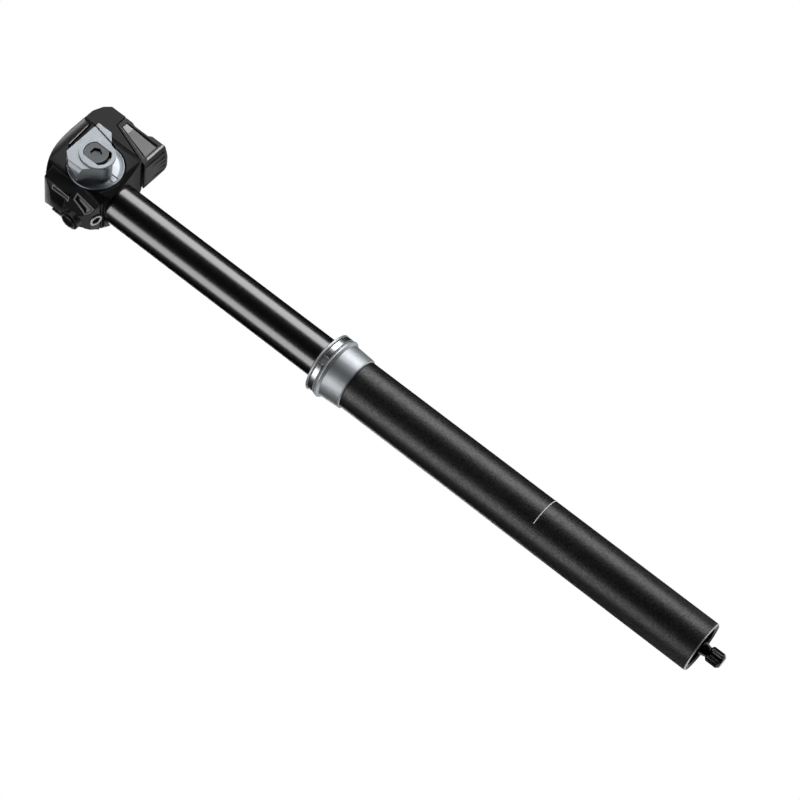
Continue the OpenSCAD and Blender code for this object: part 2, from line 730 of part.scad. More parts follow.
// The nose: upper front and jaw, cut by the cheeks, with the button housing
module nose_body() {
    difference() {
        at_head() {
            nose_slab(concat([[-nose_x, 0], nose_front, nose_corner], front_round()), [
                [-cover_x, jaw_top], [-nose_x, jaw_top], [-nose_x, cover_top - nose_bevel[1]],
                [-nose_x + nose_bevel[0], cover_top], [-cover_x, cover_top]]);
            nose_slab(concat([jaw_corner], front_round()), [
                [-cover_x, chin_z(cover_x)], [-chin_knee, chin_z(chin_knee)], [-jaw_x, jaw_low],
                [-jaw_x, jaw_top], [-nose_x, jaw_top + jaw_rise], [-cover_x, jaw_top + jaw_rise]]);
        }
        both_sides() on_cheek() translate([-head_w, -head_w, 0]) cube(2 * head_w);
    }
    at_head() translate([0, 0, button_z]) bar_x(button_house_d / 2, house_front, -nose_x);
}

// A piece of the nose with a half plan outline and a side outline
module nose_slab(half_plan, side) intersection() {
    across(head_w) polygon(side);
    linear_extrude(cover_top) polygon(mirrored(half_plan));
}

module front_cover() color([0.055, 0.055, 0.06]) difference() {
    union() {
        nose_body();
        // Raised rib along the nose's corner
        both_sides() on_nose_corner() translate([0, 0, -1]) linear_extrude(1 + rib_t) polygon(corner_rib);
        // Raised rim round the status window's pocket
        both_sides() on_cheek() translate([0, 0, -1]) linear_extrude(1 + rim_t) polygon(window_rim);
        on_chin() translate([0, 0, -port_boss]) cylinder(d = port_d, h = port_boss);
    }
    // Room for the circuit board
    at_head() translate([-nose_x + case_wall, -board_w / 2 - clear_gap, board_low - clear_gap])
        cube([nose_x, board_w + 2 * clear_gap, board_high - board_low + 2 * clear_gap]);
    at_head() translate([0, 0, button_z]) bar_x(button_d / 2 + face_gap, house_front - over, -cover_x);
    on_chin() translate([0, 0, -port_depth]) cylinder(d = port_bore, h = port_depth + port_t + over);
    both_sides() {
        cradle_seat();
        on_cheek() translate([0, 0, -pocket_t]) linear_extrude(pocket_t + over) polygon(window_pocket);
    }
}

module circuit_board() color([0.1, 0.3, 0.15]) difference() {
    at_head() union() {
        translate([-cover_x - board_t, -board_w / 2, board_low])
            cube([board_t, board_w, board_high - board_low]);
        // Switch behind the button
        translate([-cover_x - board_t - 1.5, -2, button_z - 2]) cube([1.5, 4, 4]);
    }
    board_screw_places() bar_x(board_screw_r, -board_t - over, over);
}

module board_screws() color([0.7, 0.7, 0.72]) board_screw_places() {
    bar_x(board_screw_r, -board_t, 4.5);
    bar_x(1.7, -board_t - 1, -board_t);
}

module status_windows() color([0.35, 0.36, 0.37]) both_sides() on_cheek()
    translate([0, 0, -pocket_t]) linear_extrude(0.5) polygon(window_panel);

module port_ring() color([0.75, 0.75, 0.75]) on_chin() sleeve(port_d / 2, port_bore / 2, 0, port_t);

module port_plug() color([0.06, 0.06, 0.06]) on_chin()
    translate([0, 0, -port_depth]) cylinder(d = port_bore, h = plug_t);

module power_button() color([0.09, 0.09, 0.09]) {
    back = -cover_x - board_t - 1.5 - button_travel - face_gap;
    at_head() translate([0, 0, button_z]) rotate([0, -90, 0]) rotate_extrude() polygon(concat(
        [[0, -back], [button_d / 2, -back], [button_d / 2, -house_front + 0.4]],
        curve([button_d / 2, -house_front + 0.4], [button_d / 2 - 0.4, -house_front + button_travel + 0.6],
            [0, -house_front + button_travel + 0.8])));
}

// Battery

module battery_contacts() color([0.8, 0.7, 0.4]) contact_block();

// The battery's side outline, with a shallow waist at its rear
module battery_outline() polygon([
    [seam_x(battery_low), battery_low], [crown_x, battery_low], [crown_x, battery_low + waist_low[0]],
    [crown_x - waist, battery_low + waist_low[1]], [crown_x - waist, battery_high - 8],
    [crown_x - 0.4, battery_high - 5], [crown_x - 0.4, battery_high], [seam_x(battery_high), battery_high]]);

// Height of the battery's rounded underside at a distance from the middle plane
function keel_z(y) = battery_low - keel * (1 - (2 * y / rear_w) ^ 2);

// The rounded underside, which deepens from the seam to the rear
module battery_keel() intersection() {
    rotate([90, 0, 90]) linear_extrude(crown_x) polygon(concat(
        curve([-rear_w / 2, battery_low], [0, battery_low - 2 * keel], [rear_w / 2, battery_low], 16),
        [[rear_w / 2, battery_low + case_wall], [-rear_w / 2, battery_low + case_wall]]));
    across(rear_w) polygon([
        [seam_x(battery_low), battery_low], [seam_x(battery_low) + keel_bow[0], battery_low - keel_bow[1]],
        [crown_x - keel_heel, battery_low - keel], [crown_x, battery_low - keel + keel_heel],
        [crown_x, battery_low + case_wall], [seam_x(battery_low + case_wall), battery_low + case_wall]]);
}

module battery_case() color([0.08, 0.08, 0.085]) difference() {
    at_head() union() {
        across(rear_w) battery_outline();
        battery_keel();
    }
    at_head() across(rear_w - 2 * case_wall - 2 * panel_t) battery_cavity(0);
    both_sides() at_head() outwards(rear_w / 2 - panel_t, rear_w) polygon(panel);
    // Slot of the latch
    at_head() translate([latch_x, -latch_w / 2 - face_gap, battery_high - latch_h - latch_travel - face_gap])
        cube([crown_x, latch_w + 2 * face_gap, latch_h + latch_travel + face_gap + over]);
    // Grooves between the ribs underneath
    for (i = [0 : battery_ribs - 1])
        let (y = (i + 0.5 - battery_ribs / 2) * rear_w / (battery_ribs + 0.5))
            at_head() translate([0, y - rib_gap_w / 2, keel_z(y) - keel])
                cube([crown_x - case_wall, rib_gap_w, keel + rib_gap_t]);
}

// The room inside the battery, which ends in front of the latch
module battery_cavity(inset) {
    low = battery_low + case_wall + inset;
    high = battery_high - case_wall - inset;
    back = latch_x - case_wall - inset;
    front = case_wall + inset;
    polygon([
        [seam_x(low) + front, low], [back, low], [back, high], [min(seam_x(high) + front, back - 1), high]]);
}

module battery_cell() color([0.2, 0.35, 0.55])
    at_head() across(rear_w - 2 * case_wall - 2 * panel_t - 2 * face_gap) battery_cavity(face_gap);

// Side panels, narrower than their recess so that a groove shows along both slanted edges
module battery_panels() color([0.2, 0.2, 0.21]) both_sides() at_head()
    outwards(rear_w / 2 - panel_t, rear_w / 2 - 0.3)
    polygon([panel[0] + [1, 0], panel[1] - [1.6, 0], panel[2] - [0.5, 0], panel[3] + [0.3, 0]]);

module battery_latch() color([0.1, 0.1, 0.1]) at_head() difference() {
    translate([latch_x + face_gap, -latch_w / 2, battery_high - latch_h])
        cube([crown_x - 0.2 - latch_x - face_gap, latch_w, latch_h]);
    // Finger grooves
    for (z = [1.2, 2.6, 4]) translate([crown_x - 0.7, -latch_w, battery_high - latch_h + z])
        cube([over, 2 * latch_w, 0.6]);
}

// Saddle clamp

module rail_groove() {
    at_head() translate([0, -rail_y, rail_z]) bar_x(rail_r, -nose_x, crown_x);
}

module pad_outline() polygon([
    [ear_left - 2, rail_z - rail_r - 1.6], [ear_right - 4, rail_z - rail_r - 1.6],
    [ear_right - 1, rail_z - 1], [ear_right - 1, ear_top], [ear_left, ear_top], [ear_left - 2, ear_top - 2]]);

module cradle() difference() {
    union() {
        at_bolt() rotate([90, 0, 0]) rotate_extrude() polygon([
            [sleeve_r, seat_y + face_gap], [disc_r, seat_y + face_gap], [disc_r, disc_face - 0.4],
            [disc_r - 0.4, disc_face], [disc_r - 3, disc_floor], [sleeve_r, disc_floor]]);
        at_head() outwards(head_w / 2 + face_gap, pad_out) pad_outline();
        // The pad's root stays inside the round seat
        intersection() {
            at_head() outwards(disc_floor - 0.5, head_w / 2 + 2 * face_gap) pad_outline();
            at_bolt() bar_y(disc_r, -head_w, -seat_y);
        }
        // Index mark under the bolt
        at_bolt() outwards(disc_floor - 0.5, disc_face) translate([-1, -disc_r + 1.4]) square([2, 5]);
    }
    rail_groove();
}

module ear_outline() polygon(concat(
    [[ear_left, ear_top], [ear_left, ear_top] - ear_slope, bolt_at + ear_tip, bolt_at + ear_knee,
    bolt_at + ear_hip],
    curve(bolt_at + ear_foot[0], bolt_at + ear_foot[1], bolt_at + ear_foot[2]),
    [[ear_right, bolt_z + ear_tail], [ear_right, ear_top]]));

// A boss round the bolt, drawn out downwards by drop
module ear_boss(y0, y1, r, drop = 0) at_bolt() {
    bar_y(r, -y1, -y0);
    if (drop > 0) {
        translate([0, 0, -drop]) bar_y(r, -y1, -y0);
        translate([-r, -y1, -drop]) cube([2 * r, y1 - y0, drop]);
    }
}

module ear() difference() {
    union() {
        at_head() outwards(ear_in, ear_out) ear_outline();
        ear_boss(disc_floor, ear_in, nut_r + neck_wall);
        ear_boss(ear_out - boss_up, ear_out + boss_up, nut_r + boss_wall, slot_drop);
    }
    rail_groove();
    // Lap over the cradle's pad
    at_head() translate([-nose_x, -ear_lap, rail_z - rail_r - lap_low])
        cube([nose_x + crown_x, ear_lap, ear_top]);
    // Scooped front end
    at_head() translate([ear_left - scoop_at[0], -ear_out - scoop_at[1], 0])
        cylinder(r = scoop_r, h = bolt_z + ear_top);
    // Groove near the rear end
    at_head() outwards(ear_out - ear_groove_t, ear_out + over) polygon([
        [ear_right - ear_groove[0] - ear_groove_w, ear_top], [ear_right - ear_groove[0], ear_top],
        [ear_right - ear_groove[1], bolt_z - ear_groove_low],
        [ear_right - ear_groove[1] - ear_groove_w, bolt_z - ear_groove_low]]);
    ear_boss(disc_floor - over, ear_out, sleeve_r + face_gap);
}

module near_cradle() color([0.66, 0.68, 0.72]) cradle();

module far_cradle() color([0.66, 0.68, 0.72]) mirror([0, 1, 0]) cradle();

// The near ear's slot holds the barrel nut's flats and runs on below it
module near_ear() color([0.68, 0.71, 0.75]) difference() {
    ear();
    intersection() {
        ear_boss(nut_seat, nut_face + over, nut_r + face_gap, slot_drop);
        at_bolt() outwards(nut_seat, nut_face + over) translate([-nut_flat / 2 - face_gap, -nut_d])
            square([nut_flat + 2 * face_gap, 2 * nut_d]);
    }
}

module far_ear() color([0.68, 0.71, 0.75]) mirror([0, 1, 0]) difference() {
    ear();
    ear_boss(nut_seat, nut_face + over, nut_r + face_gap);
}

module hex_socket(depth) {
    translate([0, -nut_face - over, 0]) rotate([-90, 0, 0])
        cylinder(r = hex_key / 2 / cos(30), h = depth + over, $fn = 6);
}

module barrel_nut() color([0.28, 0.28, 0.3]) at_bolt() difference() {
    union() {
        intersection() {
            bar_y(nut_r, -nut_face, -nut_seat);
            outwards(nut_seat, nut_face) square([nut_flat, 2 * nut_d], center = true);
        }
        bar_y(sleeve_r, -nut_seat, seat_y + 1.5);
    }
    hex_socket(hex_depth);
    bar_y(shank_d / 2 + run_gap, -seat_y, seat_y + 1.5 + over);
}

module clamp_bolt() color([0.28, 0.28, 0.3]) at_bolt() mirror([0, 1, 0]) difference() {
    union() {
        bar_y(nut_r, -nut_face, -nut_seat - face_gap);
        bar_y(sleeve_r, -nut_seat - face_gap, -seat_y - 1.5 - face_gap);
        bar_y(shank_d / 2, -seat_y - 1.5 - face_gap, seat_y - 4);
    }
    hex_socket(hex_depth);
}

lower_tube();
seal_collar();
split_ring();
wiper_seal();
foam_ring();
upper_bushing();
end_plug();
plug_seal();
bottom_bumper();
piston_rod();
piston();
piston_seal();
piston_nut();
valve_stem();
valve_core();
valve_cap();
stanchion();
guide_keys();
lower_bushing();
rod_guide();
rod_seal();
top_out_bumper();
damper_tube();
valve_block();
block_seal();
floating_piston();
floating_seals();
release_spool();
spool_spring();
release_cam();
gear_motor();
head_shell();
front_cover();
circuit_board();
board_screws();
status_windows();
port_ring();
port_plug();
power_button();
battery_contacts();
battery_case();
battery_cell();
battery_panels();
battery_latch();
near_cradle();
far_cradle();
near_ear();
far_ear();
barrel_nut();
clamp_bolt();
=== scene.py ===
"""Dresses a wireless dropper seatpost: softened edges, finishes, small trim, studio light and camera."""

import math

import bmesh
import bpy
from mathutils import Matrix, Vector


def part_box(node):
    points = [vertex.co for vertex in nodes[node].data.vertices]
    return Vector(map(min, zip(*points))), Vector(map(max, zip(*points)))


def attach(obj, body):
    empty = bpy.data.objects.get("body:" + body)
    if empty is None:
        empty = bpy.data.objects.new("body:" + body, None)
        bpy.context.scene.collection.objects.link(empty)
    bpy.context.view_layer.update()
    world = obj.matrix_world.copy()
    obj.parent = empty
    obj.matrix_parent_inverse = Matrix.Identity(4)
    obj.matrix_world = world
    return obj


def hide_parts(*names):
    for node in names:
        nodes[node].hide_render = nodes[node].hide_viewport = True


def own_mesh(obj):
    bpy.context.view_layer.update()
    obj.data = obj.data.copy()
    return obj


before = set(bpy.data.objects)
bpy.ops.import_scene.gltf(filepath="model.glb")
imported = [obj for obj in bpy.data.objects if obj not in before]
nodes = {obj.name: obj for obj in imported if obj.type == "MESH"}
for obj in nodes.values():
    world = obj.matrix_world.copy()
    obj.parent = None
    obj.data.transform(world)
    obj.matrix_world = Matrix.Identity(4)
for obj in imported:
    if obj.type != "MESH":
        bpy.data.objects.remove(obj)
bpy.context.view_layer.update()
MM = 0.001


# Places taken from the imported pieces
def middle(node):
    low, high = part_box(node)
    return (Vector(low) + Vector(high)) / 2


def reach(node, axis):
    low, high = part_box(node)
    return low[axis], high[axis]


def heading(azimuth, elevation):
    """Unit vector that points from the post towards an azimuth and elevation in degrees; azimuth 0 is -Y."""
    a = math.radians(azimuth)
    e = math.radians(elevation)
    return Vector((math.sin(a) * math.cos(e), -math.cos(a) * math.cos(e), math.sin(e)))


# Camera at the photograph's viewing angle, rolled so that the post lies across the picture
VIEW_AZIMUTH = -28.0
VIEW_ELEVATION = -14.7
VIEW_ROLL = 52.83
VIEW_DISTANCE = 1.4727
VIEW_TARGET_Z = -0.0249
VIEW_TARGET_SIDE = 0.00784
PICTURE_SIZE = 800
FOCAL_PIXELS = 2650
SENSOR = 36.0


def place_camera():
    back = heading(VIEW_AZIMUTH, VIEW_ELEVATION)
    right = heading(VIEW_AZIMUTH + 90, 0)
    up = back.cross(right)
    roll = math.radians(VIEW_ROLL)
    turned_right = right * math.cos(roll) - up * math.sin(roll)
    turned_up = right * math.sin(roll) + up * math.cos(roll)
    lens = bpy.data.cameras.new("photo_camera")
    lens.sensor_width = SENSOR
    lens.lens = FOCAL_PIXELS * SENSOR / PICTURE_SIZE
    camera = bpy.data.objects.new("photo_camera", lens)
    bpy.context.collection.objects.link(camera)
    place = Matrix((turned_right, turned_up, back)).transposed().to_4x4()
    target = Vector((0, 0, VIEW_TARGET_Z)) + VIEW_TARGET_SIDE * right
    place.translation = target + VIEW_DISTANCE * back
    camera.matrix_world = place
    bpy.context.scene.camera = camera


# Shader building blocks
def add(tree, kind, **settings):
    node = tree.nodes.new(kind)
    for key, value in settings.items():
        setattr(node, key, value)
    return node


def math_node(tree, operation, a, b, clamp=False):
    node = add(tree, "ShaderNodeMath", operation=operation, use_clamp=clamp)
    for socket, value in zip(node.inputs, (a, b)):
        if isinstance(value, (int, float)):
            socket.default_value = value
        else:
            tree.links.new(value, socket)
    return node.outputs[0]


def spread(tree, value, span, to_low, to_high):
    """Maps a value from a span of low and high to to_low..to_high, held at both ends."""
    node = add(tree, "ShaderNodeMapRange", clamp=True)
    tree.links.new(value, node.inputs["Value"])
    node.inputs["From Min"].default_value, node.inputs["From Max"].default_value = span
    for name, wanted in (("To Min", to_low), ("To Max", to_high)):
        if isinstance(wanted, (int, float)):
            node.inputs[name].default_value = wanted
        else:
            tree.links.new(wanted, node.inputs[name])
    return node.outputs["Result"]


def new_group(name, inputs, outputs):
    """A shader group with named number sockets; inputs maps each name to its usual value."""
    tree = bpy.data.node_groups.new(name, "ShaderNodeTree")
    for socket, value in inputs.items():
        made = tree.interface.new_socket(socket, in_out="INPUT", socket_type="NodeSocketFloat")
        made.default_value = value
    for socket in outputs:
        tree.interface.new_socket(socket, in_out="OUTPUT", socket_type="NodeSocketFloat")
    return tree, add(tree, "NodeGroupInput"), add(tree, "NodeGroupOutput")


def noise(tree, vector, scale, detail=3.0, roughness=0.55):
    node = add(tree, "ShaderNodeTexNoise")
    tree.links.new(vector, node.inputs["Vector"])
    tree.links.new(scale, node.inputs["Scale"])
    node.inputs["Detail"].default_value = detail
    node.inputs["Roughness"].default_value = roughness
    return node.outputs["Fac"]


def per_metre(tree, size_mm):
    """Texture scale for a feature size in millimetres."""
    return math_node(tree, "DIVIDE", 1 / MM, size_mm)


# Spans of noise that turn into a full change of roughness, tone or edge wear and sheen
GRAIN_SPAN = (0.3, 0.7)
PATCH_SPAN = (0.32, 0.68)
EDGE_BREAKUP_SPAN = (0.35, 0.65)
EDGE_BREAKUP_LEAST = 0.4
# Cosine between the plain and the rounded normal, from a flat face to a full edge
EDGE_SPAN = (0.99, 0.85)


def build_blast_grain():
    """Fine pitted grain of a blasted or moulded skin."""
    sockets = {"Grain mm": 0.5, "Smooth": 0.4, "Rough": 0.5}
    tree, given, result = new_group("blast_grain", sockets, ("Height", "Roughness"))
    place = add(tree, "ShaderNodeTexCoord").outputs["Object"]
    pits = noise(tree, place, per_metre(tree, given.outputs["Grain mm"]))
    tree.links.new(pits, result.inputs["Height"])
    rough = spread(tree, pits, GRAIN_SPAN, given.outputs["Smooth"], given.outputs["Rough"])
    tree.links.new(rough, result.inputs["Roughness"])
    return tree


def build_lathe_marks():
    """Fine rings left by turning a piece about the post's axis."""
    sockets = {"Pitch mm": 0.4, "Smooth": 0.25, "Rough": 0.4}
    tree, given, result = new_group("lathe_marks", sockets, ("Height", "Roughness"))
    place = add(tree, "ShaderNodeTexCoord").outputs["Object"]
    parts = add(tree, "ShaderNodeSeparateXYZ")
    tree.links.new(place, parts.inputs[0])
    along = math_node(tree, "MULTIPLY", parts.outputs["Z"], per_metre(tree, given.outputs["Pitch mm"]))
    rings = add(tree, "ShaderNodeTexNoise", noise_dimensions="1D")
    tree.links.new(along, rings.inputs["W"])
    rings.inputs["Scale"].default_value = 1.0
    rings.inputs["Detail"].default_value = 2.0
    tree.links.new(rings.outputs["Fac"], result.inputs["Height"])
    rough = spread(tree, rings.outputs["Fac"], GRAIN_SPAN, given.outputs["Smooth"], given.outputs["Rough"])
    tree.links.new(rough, result.inputs["Roughness"])
    return tree


def build_patchy_tone():
    """Slow drift of a colour over a surface, from handling and uneven dye."""
    tree, given, result = new_group("patchy_tone", {"Patch mm": 12.0}, ("Tone",))
    place = add(tree, "ShaderNodeTexCoord").outputs["Object"]
    patches = noise(tree, place, per_metre(tree, given.outputs["Patch mm"]), detail=4.0)
    tree.links.new(spread(tree, patches, PATCH_SPAN, 0.0, 1.0), result.inputs["Tone"])
    return tree


def build_edge_wear_and_sheen():
    """Mask of lighter edges, broken up by a fine noise: partly wear where hands and tools rub, partly painted
    highlight where edges catch the light.
    """
    sockets = {"Width mm": 0.6, "Break-up mm": 1.5, "Amount": 0.6}
    tree, given, result = new_group("edge_wear_and_sheen", sockets, ("Wear and sheen",))
    radius = math_node(tree, "MULTIPLY", given.outputs["Width mm"], MM)
    rounded = add(tree, "ShaderNodeBevel", samples=4)
    tree.links.new(radius, rounded.inputs["Radius"])
    plain = add(tree, "ShaderNodeNewGeometry")
    turn = add(tree, "ShaderNodeVectorMath", operation="DOT_PRODUCT")
    tree.links.new(rounded.outputs["Normal"], turn.inputs[0])
    tree.links.new(plain.outputs["Normal"], turn.inputs[1])
    edge = spread(tree, turn.outputs["Value"], EDGE_SPAN, 0.0, 1.0)
    place = add(tree, "ShaderNodeTexCoord").outputs["Object"]
    edge_breakup = noise(tree, place, per_metre(tree, given.outputs["Break-up mm"]))
    broken = math_node(tree, "MULTIPLY", edge, spread(tree, edge_breakup, EDGE_BREAKUP_SPAN, EDGE_BREAKUP_LEAST, 1.0))
    wear_and_sheen = math_node(tree, "MULTIPLY", broken, given.outputs["Amount"], clamp=True)
    tree.links.new(wear_and_sheen, result.inputs["Wear and sheen"])
    return tree


BLAST_GRAIN = build_blast_grain()
LATHE_MARKS = build_lathe_marks()
PATCHY_TONE = build_patchy_tone()
EDGE_WEAR_AND_SHEEN = build_edge_wear_and_sheen()


def place_group(tree, group, values):
    node = add(tree, "ShaderNodeGroup", node_tree=group)
    for socket, value in values.items():
        node.inputs[socket].default_value = value
    return node


def mix_colour(tree, factor, a, b):
    node = add(tree, "ShaderNodeMix", data_type="RGBA")
    tree.links.new(factor, node.inputs["Factor"])
    for socket, value in ((node.inputs[6], a), (node.inputs[7], b)):
        if isinstance(value, tuple):
            socket.default_value = (*value, 1.0)
        else:
            tree.links.new(value, socket)
    return node.outputs[2]


def grey(level, blue=0.0):
    """A neutral colour, a little towards blue where wanted."""
    return (level * (1 - blue), level, level * (1 + blue))


PATCH_MM = 12.0
WEAR_AND_SHEEN_WIDTH_MM = 0.6


def finish(name, tones, rough, depth_mm, grain_mm=None, pitch_mm=None, metallic=0.0, ior=1.5, wear_and_sheen=None,
           wear_and_sheen_amount=0.5, coat=0.0):
    """A finish with two drifting tones, a grain or turning marks of one size, and lighter edges where wanted,
    partly wear and partly painted highlight.
    """
    made = bpy.data.materials.new(name)
    made.use_nodes = True
    tree = made.node_tree
    shader = tree.nodes["Principled BSDF"]
    shader.inputs["Metallic"].default_value = metallic
    shader.inputs["IOR"].default_value = ior
    shader.inputs["Coat Weight"].default_value = coat
    shader.inputs["Coat Roughness"].default_value = 0.1
    tone = place_group(tree, PATCHY_TONE, {"Patch mm": PATCH_MM})
    colour = mix_colour(tree, tone.outputs["Tone"], *tones)
    # Lighter edge colour: partly rubbed wear, partly painted highlight (edge sheen)
    if wear_and_sheen:
        edges = place_group(tree, EDGE_WEAR_AND_SHEEN, {"Width mm": WEAR_AND_SHEEN_WIDTH_MM, "Amount": wear_and_sheen_amount})
        colour = mix_colour(tree, edges.outputs["Wear and sheen"], colour, wear_and_sheen)
    tree.links.new(colour, shader.inputs["Base Color"])
    limits = {"Smooth": rough[0], "Rough": rough[1]}
    if pitch_mm:
        skin = place_group(tree, LATHE_MARKS, {"Pitch mm": pitch_mm, **limits})
    else:
        skin = place_group(tree, BLAST_GRAIN, {"Grain mm": grain_mm, **limits})
    tree.links.new(skin.outputs["Roughness"], shader.inputs["Roughness"])
    bump = add(tree, "ShaderNodeBump")
    bump.inputs["Strength"].default_value = 1.0
    bump.inputs["Distance"].default_value = depth_mm * MM
    tree.links.new(skin.outputs["Height"], bump.inputs["Height"])
    tree.links.new(bump.outputs["Normal"], shader.inputs["Normal"])
    return made


# Finishes: two tones, then the least and the most roughness
# The lighter edge colour given to a finish is partly wear and partly painted highlight
hard_anodised = finish("hard_anodised_black", (grey(0.0006), grey(0.0012)), (0.23, 0.26), depth_mm=0.00005,
                       pitch_mm=1.6, ior=2.25)
blasted_black = finish("blasted_black_tube", (grey(0.003), grey(0.008)), (0.26, 0.5), depth_mm=0.105,
                       grain_mm=1.0, ior=1.6)
turned_silver = finish("turned_silver", (grey(0.50, 0.05), grey(0.57, 0.04)), (0.46, 0.56), depth_mm=0.002,
                       pitch_mm=0.3, metallic=1.0, wear_and_sheen=grey(0.7), wear_and_sheen_amount=0.7)
spring_steel = finish("spring_steel", (grey(0.5, 0.02), grey(0.58, 0.02)), (0.22, 0.34), depth_mm=0.001,
                      pitch_mm=0.4, metallic=1.0)
satin_alloy = finish("satin_clamp_alloy", (grey(0.31, 0.08), grey(0.38, 0.07)), (0.42, 0.50), depth_mm=0.004,
                     grain_mm=0.35, metallic=1.0, wear_and_sheen=grey(0.6, 0.03), wear_and_sheen_amount=0.8)
polished_alloy = finish("polished_clamp_alloy", (grey(0.42, 0.07), grey(0.48, 0.06)), (0.38, 0.46), depth_mm=0.001,
                        grain_mm=0.4, metallic=1.0)
dark_steel = finish("dark_clamp_steel", (grey(0.085, 0.06), grey(0.11, 0.06)), (0.34, 0.48), depth_mm=0.003,
                    grain_mm=0.4, metallic=1.0, wear_and_sheen=grey(0.3, 0.02))
forged_black = finish("forged_head_black", (grey(0.002), grey(0.004)), (0.26, 0.36), depth_mm=0.006, grain_mm=0.5,
                      ior=1.27, wear_and_sheen=grey(0.08), wear_and_sheen_amount=0.8)
moulded_black = finish("moulded_black", (grey(0.005), grey(0.009)), (0.28, 0.4), depth_mm=0.006, grain_mm=0.6,
                       ior=1.36, wear_and_sheen=grey(0.16), wear_and_sheen_amount=0.8)
glossy_black = finish("glossy_black_cap", (grey(0.002), grey(0.004)), (0.12, 0.18), depth_mm=0.001, grain_mm=1.2,
                      wear_and_sheen=grey(0.03))
panel_grey = finish("panel_grey", (grey(0.19), grey(0.22)), (0.42, 0.55), depth_mm=0.008, grain_mm=0.45,
                    wear_and_sheen=grey(0.2))
seal_rubber = finish("seal_rubber", (grey(0.012), grey(0.02)), (0.5, 0.65), depth_mm=0.004, grain_mm=0.4)
smoked_window = finish("smoked_window", (grey(0.24), grey(0.3)), (0.2, 0.3), depth_mm=0.001, grain_mm=3.0, coat=0.5)
inner_alloy = finish("inner_alloy", (grey(0.5, 0.02), grey(0.58, 0.02)), (0.25, 0.38), depth_mm=0.0015,
                     pitch_mm=0.35, metallic=1.0)
turned_brass = finish("turned_brass", ((0.5, 0.34, 0.13), (0.58, 0.41, 0.17)), (0.24, 0.36), depth_mm=0.0015,
                      pitch_mm=0.3, metallic=1.0)
bushing_grey = finish("bushing_grey", (grey(0.06), grey(0.08)), (0.45, 0.55), depth_mm=0.003, grain_mm=0.5)
board_green = finish("board_green", ((0.012, 0.06, 0.028), (0.016, 0.08, 0.036)), (0.3, 0.42), depth_mm=0.002,
                     grain_mm=0.5)
cell_wrap = finish("cell_wrap", ((0.03, 0.05, 0.11), (0.04, 0.065, 0.14)), (0.3, 0.4), depth_mm=0.003, grain_mm=2.0)
# Light grey for thin frames and strips: painted highlight where edges of the nose and battery panel catch the light
highlight_grey = finish("painted_edge_highlight", (grey(0.16), grey(0.22)), (0.32, 0.45), depth_mm=0.006, grain_mm=0.5,
                   wear_and_sheen=grey(0.3), wear_and_sheen_amount=0.7)
bright_edge = finish("bright_cut_edge", (grey(0.46, 0.02), grey(0.56, 0.02)), (0.25, 0.36), depth_mm=0.001,
                     pitch_mm=0.2, metallic=1.0)
# Pale colour for the battery tab, battery ledge and pocket lip: painted highlight where these edges catch the light
pale_highlight = finish("pale_highlight", (grey(0.46), grey(0.54)), (0.4, 0.52), depth_mm=0.006, grain_mm=0.5,
                       wear_and_sheen=grey(0.65), wear_and_sheen_amount=0.6)
white_print = finish("white_print", (grey(0.72), grey(0.82)), (0.5, 0.62), depth_mm=0.002, grain_mm=0.4)

DRESSED = (
    (hard_anodised, ("stanchion",)),
    (blasted_black, ("lower_tube",)),
    (turned_silver, ("seal_collar", "port_ring")),
    (spring_steel, ("split_ring", "spool_spring", "piston_rod", "piston_nut", "release_spool", "board_screws")),
    (satin_alloy, ("near_cradle", "far_cradle", "near_ear", "far_ear")),
    (dark_steel, ("barrel_nut", "clamp_bolt")),
    (forged_black, ("head_shell",)),
    (moulded_black, ("front_cover", "power_button", "battery_case", "battery_latch", "end_plug")),
    (glossy_black, ("valve_stem", "valve_cap")),
    (panel_grey, ("battery_panels",)),
    (smoked_window, ("status_windows",)),
    (seal_rubber, ("wiper_seal", "foam_ring", "port_plug", "plug_seal", "bottom_bumper", "piston_seal", "rod_seal",
                   "top_out_bumper", "block_seal", "floating_seals")),
    (inner_alloy, ("piston", "rod_guide", "damper_tube", "valve_block", "floating_piston", "gear_motor")),
    (turned_brass, ("guide_keys", "valve_core", "release_cam", "battery_contacts")),
    (bushing_grey, ("upper_bushing", "lower_bushing")),
    (board_green, ("circuit_board",)),
    (cell_wrap, ("battery_cell",)),
)

# Edge radius in millimetres of each piece whose edges show; the rest have the usual one
EDGE_RADIUS = {"head_shell": 0.5, "front_cover": 0.14, "battery_case": 0.3, "stanchion": 0.3, "lower_tube": 0.5,
               "status_windows": 0.1}
USUAL_RADIUS = 0.25
EDGE_SEGMENTS = 3
EDGE_ANGLE = math.radians(28)
FLAT_ANGLE = math.radians(0.6)
JOIN_GAP = 0.002 * MM
# Seals that are round all over, with no edge to soften
ROUND_SEALS = ("piston_seal", "block_seal", "floating_seals", "plug_seal")


def soften(node):
    """Rounds the piece's edges with modifiers, and leaves its mesh as it is."""
    piece = nodes[node]
    weld = piece.modifiers.new("joined_corners", "WELD")
    weld.merge_threshold = JOIN_GAP
    flat = piece.modifiers.new("flat_faces", "DECIMATE")
    flat.decimate_type = "DISSOLVE"
    flat.angle_limit = FLAT_ANGLE
    edge = piece.modifiers.new("soft_edges", "BEVEL")
    edge.width = EDGE_RADIUS.get(node, USUAL_RADIUS) * MM
    edge.segments = EDGE_SEGMENTS
    edge.limit_method = "ANGLE"
    edge.angle_limit = EDGE_ANGLE
    edge.use_clamp_overlap = False
    smooth = piece.modifiers.new("even_shading", "WEIGHTED_NORMAL")
    smooth.keep_sharp = False


def dress():
    for material, names in DRESSED:
        for node in names:
            nodes[node].material_slots[0].material = material
            if node not in ROUND_SEALS:
                soften(node)


